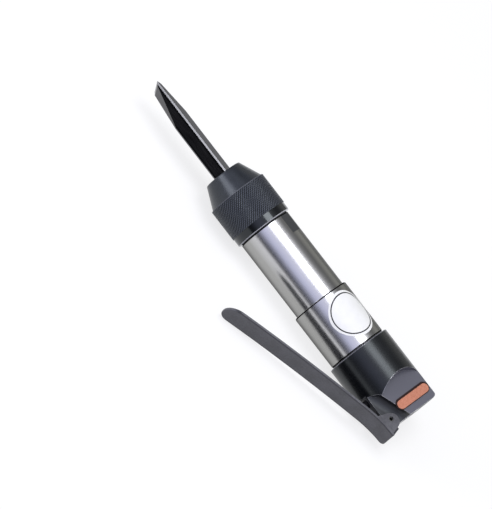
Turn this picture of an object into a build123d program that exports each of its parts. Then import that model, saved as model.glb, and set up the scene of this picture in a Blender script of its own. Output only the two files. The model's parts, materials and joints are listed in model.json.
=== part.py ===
from build123d import *
import os
from math import radians, sin, sqrt

# Pneumatic chisel: a straight air hammer with a side lever and a square-shank chisel. Millimetres.
# The tool axis is X. The air inlet faces +X at the origin and the chisel points to -X.
# A station is a distance forward of the inlet face, so a point at station s lies at x = -s.
# A reach is a distance from the tool axis towards the lever, which is drawn on -Y.
# The two cheeks of the head are drawn facing +Z and -Z. The finished tool is then rolled about X,
# so that the head and the lower edge of the lever lie on one floor.

REST_ROLL = 13.0

# Clearances, and how far a cut runs past the face that it opens
RUNNING_GAP = 0.05
SLACK = 0.3
OVERRUN = 1.0

# Head, which is the throttle handle
HEAD_R = 24.2
HEAD_LENGTH = 58.2
HEAD_REAR_ROUND = 2.4
HEAD_FRONT_CHAMFER = 0.4
CHEEK_HALF = 15.2
CHEEK_FRONT = 29.0
CHEEK_ARC_R = 27.2
TONGUE_HALF = 7.0
TONGUE_FRONT = 28.6
TONGUE_SEAT = 23.2
POCKET_REAR_REACH = 7.9
POCKET_CORNER = (23.2, 18.0)
POCKET_OVERRUN = 2.0
POCKET_FILLET = 5.2
SOCKET_R = 17.5
SOCKET_FLOOR = 37.0

# Air inlet
INLET_BORE_R = 5.85
INLET_BUSH_R = 9.0
INLET_BUSH_LENGTH = 12.5
INLET_SLOT = (2.2, 1.2)
INLET_SLOT_INNER_R = 6.85
INLET_SHOULDER = 13.6
INLET_SEAL_R = (7.2, 8.8)
INLET_PASSAGE_R = 5.0
SCREEN_R = 6.9
SCREEN_HOLE_R = 0.75
SCREEN_HOLE_RINGS = ((0.0, 1), (2.4, 6), (4.8, 12))

# Throttle lever and its pin
LEVER_WIDTH = 19.4
LEVER_THICKNESS = 1.6
LEVER_HEEL = 4.9
LEVER_HEEL_REACH = 26.8
LEVER_HEEL_LOWER_R = 3.6
LEVER_HEEL_UPPER_R = 0.8
LEVER_TILT = 16.0
LEVER_BEND_R = 90.0
LEVER_BOW = 4.4
LEVER_TIP_STATION = 135.6
LEVER_TIP_LOWER_R = 6.4
LEVER_TIP_UPPER_R = 12.0
LEVER_EDGE = 0.6
EAR_CENTRE = (4.1, 19.9)
EAR_R = 5.8
EAR_FRONT = (12.6, 27.2)
EAR_HEEL = (-3.4, 26.0)
FLANGE_HEEL_REACH = 26.0
FLANGE_FOOT = (-3.2, 19.0)
PIVOT_STATION = 5.5
PIVOT_REACH = 19.55
PIN_R = 2.0
PIN_BORE_R = 1.3
PIN_SLIT = 0.9

# Throttle valve, which lies across the head
VALVE_STATION = 24.0
PLUNGER_R = 3.0
PLUNGER_DOME_REACH = 26.25
PLUNGER_FOOT = 8.0
PLUNGER_BUSH_R = 5.0
PLUNGER_BUSH_FOOT = 12.6
PLUNGER_SEAL_REACH = 11.7
PLUNGER_SEAL = (4.1, 0.85)
OUTLET_REACH = 7.9
OUTLET_R = 2.8
THROAT_R = 4.2
THROAT_TOP = 5.0
VALVE_SEAT_REACH = 2.6
CHAMBER_R = 6.5
CHAMBER_END = -13.0
POPPET_R = 5.6
POPPET_STEM_R = 2.2
POPPET_FACE = 1.6
POPPET_BACK = -1.8
POPPET_NUB = (3.2, -4.2)
POPPET_SEAL_THICKNESS = 0.8
SPRING_R = 4.6
SPRING_WIRE_R = 0.5
SPRING_TURNS = 4.5
PLUG_R = 8.0
PLUG_OUTER = -22.3
PLUG_INNER = -12.2
PLUG_NOSE_R = 6.4
PLUG_SHOULDER = -14.0
PLUG_HEX = (8.0, 4.5)

# Plate valve between the head and the barrel
VALVE_BLOCK_R = 17.3
VALVE_CAP_FRONT = 41.4
VALVE_CAP_HOLES = (8, 8.0, 1.6)
VALVE_SEAT_REAR = 41.5
DISC_CHAMBER_R = 11.6
DISC_CHAMBER_DEPTH = 3.0
DISC_R = 11.0
DISC_THICKNESS = 1.6
DISC_GAP = 0.1
VALVE_PORT_R = 4.0
FEED_COUNT = 4
FEED_PITCH_R = 14.8
FEED_R = 1.4
DOWEL_R = 1.25
DOWEL_ENDS = (38.0, 51.0)
DOWEL_TURN = 45.0

# Barrel, piston and sleeve
BARREL_R = 20.0
BARREL_REAR = 48.0
BARREL_SHOULDER = 59.0
BARREL_FRONT_SHOULDER = 165.2
BARREL_FRONT = 181.4
SPIGOT_R = 17.5
BORE_R = 12.0
BUSH_REAR = 149.7
EXHAUST_COUNT = 6
EXHAUST_STATION = 90.0
EXHAUST_R = 2.2
FEED_PORT_STATION = 137.0
SPANNER_HALF = 19.0
SPANNER_REAR = 150.3
SPANNER_TURN = 28.5
GROOVE = (65.1, 66.5, 0.75)
PISTON_REAR = 52.0
PISTON_LENGTH = 52.0
PISTON_NOSE = (8.0, 4.0)
PISTON_GROOVES = (66.0, 78.0, 90.0)
PISTON_GROOVE = (1.5, 0.8)
GASKET_R = (17.7, 21.4)
GASKET_ENDS = (58.25, 58.95)
SLEEVE_R = 21.9
SLEEVE_ENDS = (59.1, 101.9)
SLEEVE_LAND_END = 64.7
SLEEVE_BORE_R = 20.9
SLEEVE_EDGE = 0.4
SLEEVE_FRONT_CHAMFER = (0.9, 0.6)
CIRCLIP = (20.0, 0.6)
CIRCLIP_GAP_WIDTH = 5.0

# Nose and chisel
CHISEL_BUSH_R = 13.5
CHISEL_BUSH_BORE_R = 6.3
CHISEL_BUSH_FLANGE = (17.2, 183.6)
NOSE_REAR = 166.1
NOSE_COLLAR_R = 21.9
NOSE_KNURL_REAR = 172.3
NOSE_KNURL_FRONT = 197.0
NOSE_KNURL_R = 22.0
NOSE_FRONT = 213.7
NOSE_FRONT_R = 14.1
NOSE_FRONT_ROUND = 1.2
NOSE_EDGE = 0.6
NOSE_THREAD_ROOM = 0.35
NOSE_THREAD_END = 184.2
NOSE_CAVITY_R = 13.9
NOSE_CAVITY_FRONT = 205.7
NOSE_SEAL_SEAT = (19.6, 167.0)
NOSE_SEAL = (18.7, 0.8)
BUFFER_R = (8.3, 13.6)
BUFFER_ENDS = (200.4, 205.5)
SHANK = 11.1
SHANK_CHAMFER = 1.0
SHANK_TURN = 36.5
CHISEL_COLLAR_R = 12.0
CHISEL_COLLAR = (193.1, 200.1)
CHISEL_TAIL_R = 6.25
CHISEL_TAIL_END = 155.4
CHISEL_TIP = 293.3
CHISEL_TAPER = (36.5, 30.0)
CHISEL_BEVEL = 2.4
CHISEL_BEVEL_ROOT = (-1.2, 2.8)
CHISEL_EDGE = (0.6, 1.0)
CHISEL_SKEW = 3.6

# Plates
DECAL_STATION = 80.9
DECAL_R = 17.75
DECAL_THICKNESS = 0.15
DECAL_TURN = 2.0
PLATE_STATION = 9.0
PLATE_OFFSET = 2.5
PLATE_SIZE = (30.3, 6.7, 0.8)


def turned(*section):
    """Solid of revolution about the tool axis, from (station, radius) corners."""
    outline = Polyline(*[(-station, radius) for station, radius in section], close=True)
    return revolve(make_face(outline), Axis.X)


def rod(radius, rear, front):
    """Cylinder on the tool axis between two stations."""
    return turned((rear, 0), (rear, radius), (front, radius), (front, 0))


def tube(inner, outer, rear, front):
    """Ring on the tool axis between two stations."""
    return turned((rear, inner), (rear, outer), (front, outer), (front, inner))


def cross_turned(*section):
    """Solid of revolution about the throttle valve's axis, from (reach, radius) corners."""
    outline = Polyline(*[(radius - VALVE_STATION, -reach) for reach, radius in section], close=True)
    return revolve(make_face(outline), Axis((-VALVE_STATION, 0, 0), (0, 1, 0)))


def cross_rod(radius, low, high):
    """Cylinder on the throttle valve's axis between two reaches."""
    return cross_turned((low, 0), (low, radius), (high, radius), (high, 0))


def cross_tube(inner, outer, low, high):
    """Ring on the throttle valve's axis between two reaches."""
    return cross_turned((low, inner), (low, outer), (high, outer), (high, inner))


def drilled(radius, rear, front, offset, turn):
    """Drill parallel to the tool axis, off centre by an offset at a turn from +Z."""
    drill = Pos(-(rear + front) / 2, 0, offset) * Rot(0, 90, 0) * Cylinder(radius, front - rear)
    return Rot(turn, 0, 0) * drill


def radial_drill(radius, station, inner, outer, turn):
    """Drill square to the tool axis, between two radii, at a turn from +Z."""
    drill = Pos(-station, 0, (inner + outer) / 2) * Cylinder(radius, outer - inner)
    return Rot(turn, 0, 0) * drill


def even_turns(count, first=0.0):
    """Angles that share a full turn evenly."""
    return [first + 360.0 * index / count for index in range(count)]


def pin_hole(radius):
    """Cylinder along the lever pin, right through the head."""
    return Pos(-PIVOT_STATION, -PIVOT_REACH, 0) * Cylinder(radius, 2 * HEAD_R)


def pocket_cutter():
    """Block that leaves the tongue standing, on its +Z side, with a round foot along its rear wall."""
    corner_station, corner_reach = POCKET_CORNER
    slope = (corner_reach - POCKET_REAR_REACH) / corner_station
    beyond = 2 * HEAD_R
    plan = [
        (-POCKET_OVERRUN, POCKET_REAR_REACH - slope * POCKET_OVERRUN),
        (corner_station, corner_reach),
        (TONGUE_FRONT, HEAD_R),
        (TONGUE_FRONT, beyond),
        (-POCKET_OVERRUN, beyond),
    ]
    face = make_face(Polyline(*[(-station, -reach) for station, reach in plan], close=True))
    block = extrude(face, HEAD_R)
    foot = block.edges().group_by(Axis.Z)[0].filter_by(Axis.X, reverse=True).filter_by(Axis.Y, reverse=True)
    return Pos(0, 0, TONGUE_HALF) * fillet(foot.sort_by(Axis.X)[-1], POCKET_FILLET)


def head():
    """Throttle handle: cheeks, tongue for the lever, inlet, valve bores and barrel socket."""
    body = turned(
        (0, 0),
        (0, HEAD_R),
        (HEAD_LENGTH - HEAD_FRONT_CHAMFER, HEAD_R),
        (HEAD_LENGTH, HEAD_R - HEAD_FRONT_CHAMFER),
        (HEAD_LENGTH, 0),
    )
    rear_rim = body.edges().filter_by(GeomType.CIRCLE).sort_by(Axis.X)[-1]
    body = fillet(rear_rim, HEAD_REAR_ROUND)
    cheek = Pos(CHEEK_ARC_R - CHEEK_FRONT, 0, CHEEK_HALF + HEAD_R / 2) * Cylinder(CHEEK_ARC_R, HEAD_R)
    for cutter in (cheek, pocket_cutter()):
        body -= cutter
        body -= mirror(cutter, Plane.XY)
    seat_length = TONGUE_FRONT + POCKET_OVERRUN
    seat = Box(seat_length, HEAD_R, 2 * HEAD_R)
    body -= Pos(POCKET_OVERRUN - seat_length / 2, -TONGUE_SEAT - HEAD_R / 2, 0) * seat
    body -= rod(SOCKET_R, SOCKET_FLOOR, HEAD_LENGTH + OVERRUN)
    body -= rod(INLET_BUSH_R, -OVERRUN, INLET_SHOULDER)
    body -= rod(INLET_PASSAGE_R, 0, VALVE_STATION)
    body -= cross_rod(PLUNGER_BUSH_R, THROAT_TOP, HEAD_R)
    body -= cross_rod(THROAT_R, VALVE_SEAT_REACH, THROAT_TOP)
    body -= cross_rod(CHAMBER_R, CHAMBER_END, VALVE_SEAT_REACH)
    body -= cross_rod(PLUG_R, -HEAD_R - OVERRUN, CHAMBER_END)
    body -= drilled(OUTLET_R, VALVE_STATION, SOCKET_FLOOR + OVERRUN, OUTLET_REACH, 90)
    body -= pin_hole(PIN_R)
    return body


def inlet_bush():
    """Threaded insert for the air hose, with two slots for a pin spanner."""
    width, depth = INLET_SLOT
    bush = tube(INLET_BORE_R, INLET_BUSH_R, 0, INLET_BUSH_LENGTH)
    for side in (1, -1):
        middle = (INLET_SLOT_INNER_R + INLET_BUSH_R) / 2
        bush -= Pos(-depth / 2, 0, side * middle) * Box(depth, width, INLET_BUSH_R - INLET_SLOT_INNER_R)
    return bush


def inlet_seal():
    """Ring that seals the insert against its shoulder."""
    inner, outer = INLET_SEAL_R
    return tube(inner, outer, INLET_BUSH_LENGTH + RUNNING_GAP, INLET_SHOULDER - RUNNING_GAP)


def inlet_screen():
    """Perforated strainer behind the insert."""
    rear = INLET_BUSH_LENGTH + RUNNING_GAP
    front = INLET_SHOULDER - RUNNING_GAP
    screen = rod(SCREEN_R, rear, front)
    for ring_r, count in SCREEN_HOLE_RINGS:
        for turn in even_turns(count):
            screen -= drilled(SCREEN_HOLE_R, rear - OVERRUN, front + OVERRUN, ring_r, turn)
    return screen


def lever_strip():
    """Side view of the lever, given its width: a bend at the heel that runs into a slightly bowed blade."""
    tilt = radians(LEVER_TILT)
    full_tilt = radians(LEVER_TILT + LEVER_BOW)
    bow_length = LEVER_TIP_STATION + LEVER_HEEL - LEVER_BEND_R * sin(tilt)
    bow_r = bow_length / (sin(full_tilt) - sin(tilt))
    outer_heel = (LEVER_HEEL, -LEVER_HEEL_REACH)
    inner_heel = (LEVER_HEEL, LEVER_THICKNESS - LEVER_HEEL_REACH)
    outer_bend = JernArc(outer_heel, (-1, 0), LEVER_BEND_R, LEVER_TILT)
    inner_bend = JernArc(inner_heel, (-1, 0), LEVER_BEND_R + LEVER_THICKNESS, LEVER_TILT)
    outer_bow = JernArc(outer_bend @ 1, outer_bend % 1, bow_r, LEVER_BOW)
    inner_bow = JernArc(inner_bend @ 1, inner_bend % 1, bow_r + LEVER_THICKNESS, LEVER_BOW)
    tip = Line(outer_bow @ 1, inner_bow @ 1)
    heel = Line(inner_heel, outer_heel)
    profile = make_face([outer_bend, outer_bow, tip, inner_bow, inner_bend, heel])
    return extrude(profile, LEVER_WIDTH / 2, both=True)


def end_corners(strip, end):
    """Corners of the strip's front end (0) or of its heel (-1), the lower one first."""
    end_face = strip.faces().sort_by(Axis.X)[end]
    return end_face.edges().filter_by(Axis.Z, reverse=True).sort_by(Axis.Z)


def lever_blade():
    """Strip with a round tip, rounded heel corners and a soft edge all along its outer side."""
    blade = lever_strip()
    blade = fillet(end_corners(blade, 0)[0], LEVER_TIP_LOWER_R)
    blade = fillet(end_corners(blade, 0)[-1], LEVER_TIP_UPPER_R)
    blade = fillet(end_corners(blade, -1)[0], LEVER_HEEL_LOWER_R)
    blade = fillet(end_corners(blade, -1)[-1], LEVER_HEEL_UPPER_R)
    outer = blade.faces().filter_by(lambda face: face.normal_at().Y < -0.5)
    seam = outer[0].edges() & outer[1].edges()
    rim = [edge for edge in outer.edges() if edge not in seam]
    return fillet(rim, LEVER_EDGE)


def lever_ear():
    """Flat tab around the pin, as deep as it is drawn in side view."""
    centre_station, centre_reach = EAR_CENTRE
    round_end = Pos(-centre_station, -centre_reach) * Circle(EAR_R)
    top = Line(*[(-station, -reach) for station, reach in (EAR_FRONT, EAR_HEEL)])
    return make_hull([*round_end.edges(), top])


def heel_flange():
    """Wall bent inwards at the heel, as wide as the heel is between its rounded corners."""
    foot_station, foot_reach = FLANGE_FOOT
    outline = Polyline(
        (LEVER_HEEL, -FLANGE_HEEL_REACH),
        (-foot_station, -foot_reach),
        (-foot_station - LEVER_THICKNESS, -foot_reach),
        (LEVER_HEEL - LEVER_THICKNESS, -FLANGE_HEEL_REACH),
        close=True,
    )
    low = LEVER_HEEL_LOWER_R - LEVER_WIDTH / 2
    high = LEVER_WIDTH / 2 - LEVER_HEEL_UPPER_R
    return Pos(0, 0, low) * extrude(make_face(outline), high - low)


def throttle_lever():
    """Pressed-steel lever with two ears that straddle the tongue."""
    lever = lever_blade() + heel_flange()
    for side in (1, -1):
        tab = extrude(lever_ear(), LEVER_THICKNESS)
        low = LEVER_WIDTH / 2 - LEVER_THICKNESS if side > 0 else -LEVER_WIDTH / 2
        lever += Pos(0, 0, low) * tab
    lever -= pin_hole(PIN_R + RUNNING_GAP)
    return lever


def lever_pin():
    """Spring pin: a slit tube, pressed into the tongue."""
    length = LEVER_WIDTH - 2 * SLACK
    pin = Cylinder(PIN_R, length) - Cylinder(PIN_BORE_R, length)
    pin -= Pos(0, PIN_R, 0) * Box(PIN_SLIT, 2 * PIN_R, length)
    return Pos(-PIVOT_STATION, -PIVOT_REACH, 0) * pin


def plunger_bush():
    """Guide of the plunger in the tongue."""
    return cross_tube(PLUNGER_R + RUNNING_GAP, PLUNGER_BUSH_R, PLUNGER_BUSH_FOOT, TONGUE_SEAT)


def plunger_seal():
    """Ring under the plunger's guide."""
    ring_r, section_r = PLUNGER_SEAL
    return Pos(-VALVE_STATION, -PLUNGER_SEAL_REACH, 0) * Rot(90, 0, 0) * Torus(ring_r, section_r)


def throttle_plunger():
    """Pin with a domed head, which the lever pushes in."""
    stem = cross_rod(PLUNGER_R, PLUNGER_FOOT, PLUNGER_DOME_REACH)
    return stem + Pos(-VALVE_STATION, -PLUNGER_DOME_REACH, 0) * Sphere(PLUNGER_R)


def throttle_valve():
    """Poppet under the plunger, with a nub that centres the spring."""
    nub_r, nub_end = POPPET_NUB
    return cross_turned(
        (PLUNGER_FOOT, 0),
        (PLUNGER_FOOT, POPPET_STEM_R),
        (POPPET_FACE, POPPET_STEM_R),
        (POPPET_FACE, POPPET_R),
        (POPPET_BACK, POPPET_R),
        (POPPET_BACK, nub_r),
        (nub_end, nub_r),
        (nub_end, 0),
    )


def throttle_valve_seal():
    """Rubber face of the poppet."""
    top = POPPET_FACE + POPPET_SEAL_THICKNESS
    return cross_tube(POPPET_STEM_R, POPPET_R, POPPET_FACE, top)


def valve_spring():
    """Return spring between the poppet and the plug."""
    low = PLUG_INNER + SPRING_WIRE_R
    high = POPPET_BACK - SPRING_WIRE_R - RUNNING_GAP
    pitch = (high - low) / SPRING_TURNS
    path = Helix(pitch, high - low, SPRING_R)
    wire = sweep(Plane(path @ 0, z_dir=path % 0) * Circle(SPRING_WIRE_R), path)
    return Pos(-VALVE_STATION, -low, 0) * Rot(90, 0, 0) * wire


def valve_plug():
    """Screw plug that closes the valve's bore, with a hexagon socket."""
    across_flats, depth = PLUG_HEX
    plug = cross_turned(
        (PLUG_INNER, 0),
        (PLUG_INNER, PLUG_NOSE_R),
        (PLUG_SHOULDER, PLUG_NOSE_R),
        (PLUG_SHOULDER, PLUG_R),
        (PLUG_OUTER, PLUG_R),
        (PLUG_OUTER, 0),
    )
    hexagon = RegularPolygon(across_flats / 2, 6, major_radius=False)
    socket = extrude(hexagon, depth)
    return plug - Pos(-VALVE_STATION, -PLUG_OUTER, 0) * Rot(90, 0, 0) * socket


def valve_plug_seal():
    """Ring under the plug's shoulder."""
    return cross_tube(PLUG_NOSE_R, PLUG_R, PLUG_SHOULDER, CHAMBER_END)


def valve_cap():
    """Rear plate of the plate valve."""
    count, ring_r, hole_r = VALVE_CAP_HOLES
    cap = rod(VALVE_BLOCK_R, SOCKET_FLOOR, VALVE_CAP_FRONT)
    for turn in even_turns(count):
        cap -= drilled(hole_r, SOCKET_FLOOR - OVERRUN, VALVE_CAP_FRONT + OVERRUN, ring_r, turn)
    return cap - valve_dowels()


def valve_disc():
    """Floating plate that sends the air to either end of the piston."""
    front = VALVE_SEAT_REAR + DISC_CHAMBER_DEPTH - DISC_GAP
    return rod(DISC_R, front - DISC_THICKNESS, front)


def valve_seat():
    """Front plate of the plate valve, with the chamber that the disc floats in."""
    seat = rod(VALVE_BLOCK_R, VALVE_SEAT_REAR, BARREL_REAR)
    seat -= rod(DISC_CHAMBER_R, VALVE_SEAT_REAR - OVERRUN, VALVE_SEAT_REAR + DISC_CHAMBER_DEPTH)
    seat -= rod(VALVE_PORT_R, VALVE_SEAT_REAR, BARREL_REAR + OVERRUN)
    for turn in even_turns(FEED_COUNT):
        seat -= drilled(FEED_R, VALVE_SEAT_REAR - OVERRUN, BARREL_REAR + OVERRUN, FEED_PITCH_R, turn)
        seat -= radial_drill(FEED_R, VALVE_SEAT_REAR, DISC_CHAMBER_R - OVERRUN, FEED_PITCH_R, turn)
    return seat - valve_dowels()


def valve_dowels():
    """Two pins that line the valve plates up with the barrel."""
    rear, front = DOWEL_ENDS
    return Compound([drilled(DOWEL_R, rear, front, FEED_PITCH_R, turn) for turn in even_turns(2, DOWEL_TURN)])


def barrel():
    """Cylinder of the hammer: spigots, bore, air passages, exhaust ports and spanner flats."""
    groove_rear, groove_front, groove_depth = GROOVE
    body = turned(
        (BARREL_REAR, BORE_R),
        (BARREL_REAR, SPIGOT_R),
        (BARREL_SHOULDER, SPIGOT_R),
        (BARREL_SHOULDER, BARREL_R),
        (groove_rear, BARREL_R),
        (groove_rear, BARREL_R - groove_depth),
        (groove_front, BARREL_R - groove_depth),
        (groove_front, BARREL_R),
        (BARREL_FRONT_SHOULDER, BARREL_R),
        (BARREL_FRONT_SHOULDER, SPIGOT_R),
        (BARREL_FRONT, SPIGOT_R),
        (BARREL_FRONT, CHISEL_BUSH_R),
        (BUSH_REAR, CHISEL_BUSH_R),
        (BUSH_REAR, BORE_R),
    )
    for turn in even_turns(FEED_COUNT):
        body -= drilled(FEED_R, BARREL_REAR - OVERRUN, FEED_PORT_STATION, FEED_PITCH_R, turn)
        body -= radial_drill(FEED_R, FEED_PORT_STATION, 0, FEED_PITCH_R, turn)
    for turn in even_turns(EXHAUST_COUNT, DOWEL_TURN):
        body -= radial_drill(EXHAUST_R, EXHAUST_STATION, 0, BARREL_R + OVERRUN, turn)
    flat_length = BARREL_FRONT_SHOULDER - SPANNER_REAR
    for side in (1, -1):
        flat = Box(flat_length, 2 * BARREL_R, BARREL_R)
        lifted = Pos(-(SPANNER_REAR + flat_length / 2), 0, side * (SPANNER_HALF + BARREL_R / 2)) * flat
        body -= Rot(-SPANNER_TURN, 0, 0) * lifted
    return body - valve_dowels()


def piston():
    """Hammer piston with a smaller striking face and oil grooves."""
    nose_r, nose_length = PISTON_NOSE
    groove_width, groove_depth = PISTON_GROOVE
    radius = BORE_R - RUNNING_GAP
    front = PISTON_REAR + PISTON_LENGTH
    body = rod(radius, PISTON_REAR, front - nose_length) + rod(nose_r, front - nose_length, front)
    for station in PISTON_GROOVES:
        body -= tube(radius - groove_depth, radius + OVERRUN, station, station + groove_width)
    return body


def head_gasket():
    """Flat ring between the head and the barrel's shoulder."""
    return tube(*GASKET_R, *GASKET_ENDS)


def exhaust_sleeve():
    """Sleeve over the exhaust ports. The air leaves through the gap at its front."""
    rear, front = SLEEVE_ENDS
    chamfer_length, chamfer_depth = SLEEVE_FRONT_CHAMFER
    return turned(
        (rear, BARREL_R + RUNNING_GAP),
        (rear, SLEEVE_R - SLEEVE_EDGE),
        (rear + SLEEVE_EDGE, SLEEVE_R),
        (front - chamfer_length, SLEEVE_R),
        (front, SLEEVE_R - chamfer_depth),
        (front, SLEEVE_BORE_R),
        (SLEEVE_LAND_END, SLEEVE_BORE_R),
        (SLEEVE_LAND_END, BARREL_R + RUNNING_GAP),
    )


def sleeve_circlip():
    """Open wire ring in the barrel's groove, which keeps the sleeve back."""
    ring_r, section_r = CIRCLIP
    groove_rear, groove_front, _ = GROOVE
    station = (groove_rear + groove_front) / 2
    ring = Pos(-station, 0, 0) * Rot(0, 90, 0) * Torus(ring_r, section_r)
    return ring - Pos(-station, 0, -ring_r) * Box(4 * section_r, CIRCLIP_GAP_WIDTH, 4 * section_r)


def chisel_bush():
    """Flanged bush for the chisel's round tail."""
    flange_r, flange_front = CHISEL_BUSH_FLANGE
    return turned(
        (BUSH_REAR, CHISEL_BUSH_BORE_R),
        (BUSH_REAR, CHISEL_BUSH_R),
        (BARREL_FRONT, CHISEL_BUSH_R),
        (BARREL_FRONT, flange_r),
        (flange_front, flange_r),
        (flange_front, CHISEL_BUSH_BORE_R),
    )


def nose_cap():
    """Screwed nose with a gripping band, a conical front and a square hole for the shank."""
    seat_r, seat_front = NOSE_SEAL_SEAT
    thread_r = SPIGOT_R + NOSE_THREAD_ROOM
    body = turned(
        (NOSE_REAR, seat_r),
        (NOSE_REAR, NOSE_COLLAR_R - NOSE_EDGE),
        (NOSE_REAR + NOSE_EDGE, NOSE_COLLAR_R),
        (NOSE_KNURL_REAR, NOSE_COLLAR_R),
        (NOSE_KNURL_REAR + NOSE_EDGE, NOSE_KNURL_R),
        (NOSE_KNURL_FRONT - NOSE_EDGE, NOSE_KNURL_R),
        (NOSE_KNURL_FRONT, NOSE_KNURL_R - NOSE_EDGE),
        (NOSE_FRONT, NOSE_FRONT_R),
        (NOSE_FRONT, 0),
        (NOSE_CAVITY_FRONT, 0),
        (NOSE_CAVITY_FRONT, NOSE_CAVITY_R),
        (NOSE_THREAD_END, NOSE_CAVITY_R),
        (NOSE_THREAD_END, thread_r),
        (seat_front, thread_r),
        (seat_front, seat_r),
    )
    front_rim = body.edges().filter_by(GeomType.CIRCLE).group_by(Axis.X)[0]
    body = fillet(front_rim, NOSE_FRONT_ROUND)
    hole_length = 3 * (NOSE_FRONT - NOSE_CAVITY_FRONT)
    hole = Box(hole_length, SHANK + 2 * SLACK, SHANK + 2 * SLACK)
    return body - Rot(-SHANK_TURN, 0, 0) * Pos(-(NOSE_FRONT + NOSE_CAVITY_FRONT) / 2, 0, 0) * hole


def nose_seal():
    """Ring between the nose and the barrel's front shoulder."""
    ring_r, section_r = NOSE_SEAL
    return Pos(-NOSE_REAR, 0, 0) * Rot(0, 90, 0) * Torus(ring_r, section_r)


def buffer_ring():
    """Rubber ring in the nose, which stops the chisel's collar."""
    return tube(*BUFFER_R, *BUFFER_ENDS)


def shank():
    """Square bar with chamfered corners, drawn with its faces square to Y and Z."""
    collar_rear, _ = CHISEL_COLLAR
    length = CHISEL_TIP - collar_rear
    bar = Box(length, SHANK, SHANK)
    bar = chamfer(bar.edges().filter_by(Axis.X), SHANK_CHAMFER)
    return Pos(-collar_rear - length / 2, 0, 0) * bar


def wedge():
    """Block that keeps the ground end: an uneven taper, then two bevels that meet at a skewed edge."""
    half_root = SHANK / sqrt(2)
    half_corner = (SHANK - SHANK_CHAMFER) / sqrt(2)
    edge_low, edge_high = CHISEL_EDGE
    bevel_low, bevel_high = CHISEL_BEVEL_ROOT
    taper_low, taper_high = CHISEL_TAPER
    middle = CHISEL_TIP - CHISEL_SKEW / 2
    side_view = [
        (middle, edge_high),
        (middle - CHISEL_BEVEL, bevel_high),
        (middle - taper_high, half_root),
        (CHISEL_TAIL_END, half_root),
        (CHISEL_TAIL_END, -half_root),
        (middle - taper_low, -half_root),
        (middle - CHISEL_BEVEL, bevel_low),
        (middle, edge_low),
    ]
    face = make_face(Polyline(*[(-station, width) for station, width in side_view], close=True))
    lean = Vector(-CHISEL_SKEW / 2, 0, half_corner)
    return extrude(face, 2 * SHANK, dir=lean, both=True)


def chisel():
    """Chisel with a square shank, a stop collar, a round tail and a wedge ground across the corners."""
    collar_rear, collar_front = CHISEL_COLLAR
    blade = shank() & Rot(45, 0, 0) * wedge()
    blade += rod(CHISEL_COLLAR_R, collar_rear, collar_front)
    blade += rod(CHISEL_TAIL_R, CHISEL_TAIL_END, collar_rear)
    return Rot(-SHANK_TURN, 0, 0) * blade


def round_decal():
    """Blank round disc that follows the sleeve."""
    half_turn = DECAL_R / SLEEVE_R
    outline = Ellipse(DECAL_R, SLEEVE_R * sin(half_turn))
    skin = tube(SLEEVE_R, SLEEVE_R + DECAL_THICKNESS, *SLEEVE_ENDS)
    disc = skin & Pos(-DECAL_STATION, 0, 0) * extrude(outline, 2 * SLEEVE_R)
    return Rot(-DECAL_TURN, 0, 0) * disc


def oil_plate():
    """Blank round-ended plate on the cheek."""
    length, height, thickness = PLATE_SIZE
    plate = extrude(SlotOverall(length, height, rotation=90), thickness)
    top = plate.edges().group_by(Axis.Z)[-1]
    plate = chamfer(top, thickness / 3)
    return Pos(-PLATE_STATION, PLATE_OFFSET, CHEEK_HALF) * plate


PIECES = [
    head,
    inlet_bush,
    inlet_seal,
    inlet_screen,
    throttle_lever,
    lever_pin,
    plunger_bush,
    plunger_seal,
    throttle_plunger,
    throttle_valve,
    throttle_valve_seal,
    valve_spring,
    valve_plug,
    valve_plug_seal,
    valve_cap,
    valve_disc,
    valve_seat,
    valve_dowels,
    barrel,
    piston,
    head_gasket,
    exhaust_sleeve,
    sleeve_circlip,
    chisel_bush,
    nose_cap,
    nose_seal,
    buffer_ring,
    chisel,
    round_decal,
    oil_plate,
]

os.makedirs("parts", exist_ok=True)
for piece in PIECES:
    export_step(Rot(REST_ROLL, 0, 0) * piece(), f"parts/{piece.__name__}.step")
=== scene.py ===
import json
from math import cos, pi, radians, sin

import bmesh
import bpy
from mathutils import Matrix, Vector


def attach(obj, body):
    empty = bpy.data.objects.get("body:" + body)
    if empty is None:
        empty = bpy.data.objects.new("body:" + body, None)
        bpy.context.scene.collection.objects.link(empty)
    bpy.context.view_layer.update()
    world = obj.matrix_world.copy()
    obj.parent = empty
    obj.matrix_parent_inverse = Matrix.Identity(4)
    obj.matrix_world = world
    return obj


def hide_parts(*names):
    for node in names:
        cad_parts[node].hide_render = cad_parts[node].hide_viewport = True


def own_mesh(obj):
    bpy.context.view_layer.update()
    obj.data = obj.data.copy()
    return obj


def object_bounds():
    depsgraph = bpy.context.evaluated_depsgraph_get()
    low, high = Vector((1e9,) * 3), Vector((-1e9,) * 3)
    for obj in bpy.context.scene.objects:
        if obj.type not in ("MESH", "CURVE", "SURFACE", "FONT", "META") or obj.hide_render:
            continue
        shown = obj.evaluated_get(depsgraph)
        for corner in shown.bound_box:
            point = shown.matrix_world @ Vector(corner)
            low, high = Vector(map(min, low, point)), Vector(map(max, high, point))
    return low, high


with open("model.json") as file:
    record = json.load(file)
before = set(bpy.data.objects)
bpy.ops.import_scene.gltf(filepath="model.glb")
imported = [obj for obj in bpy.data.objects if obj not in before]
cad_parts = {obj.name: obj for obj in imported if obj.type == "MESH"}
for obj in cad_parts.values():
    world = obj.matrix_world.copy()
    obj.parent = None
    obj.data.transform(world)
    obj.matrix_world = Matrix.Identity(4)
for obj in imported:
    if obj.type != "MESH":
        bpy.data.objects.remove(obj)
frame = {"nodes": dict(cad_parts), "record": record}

# Dresses the pneumatic chisel in its finishes and lights it like a studio picture.
# Metres, in the frame of the solids: the tool axis is X and the chisel points to -X.
# A station is a distance forward of the inlet face, so a point at station s lies at x = -s.
# A height is a distance from the tool's middle plane towards either cheek.

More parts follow.
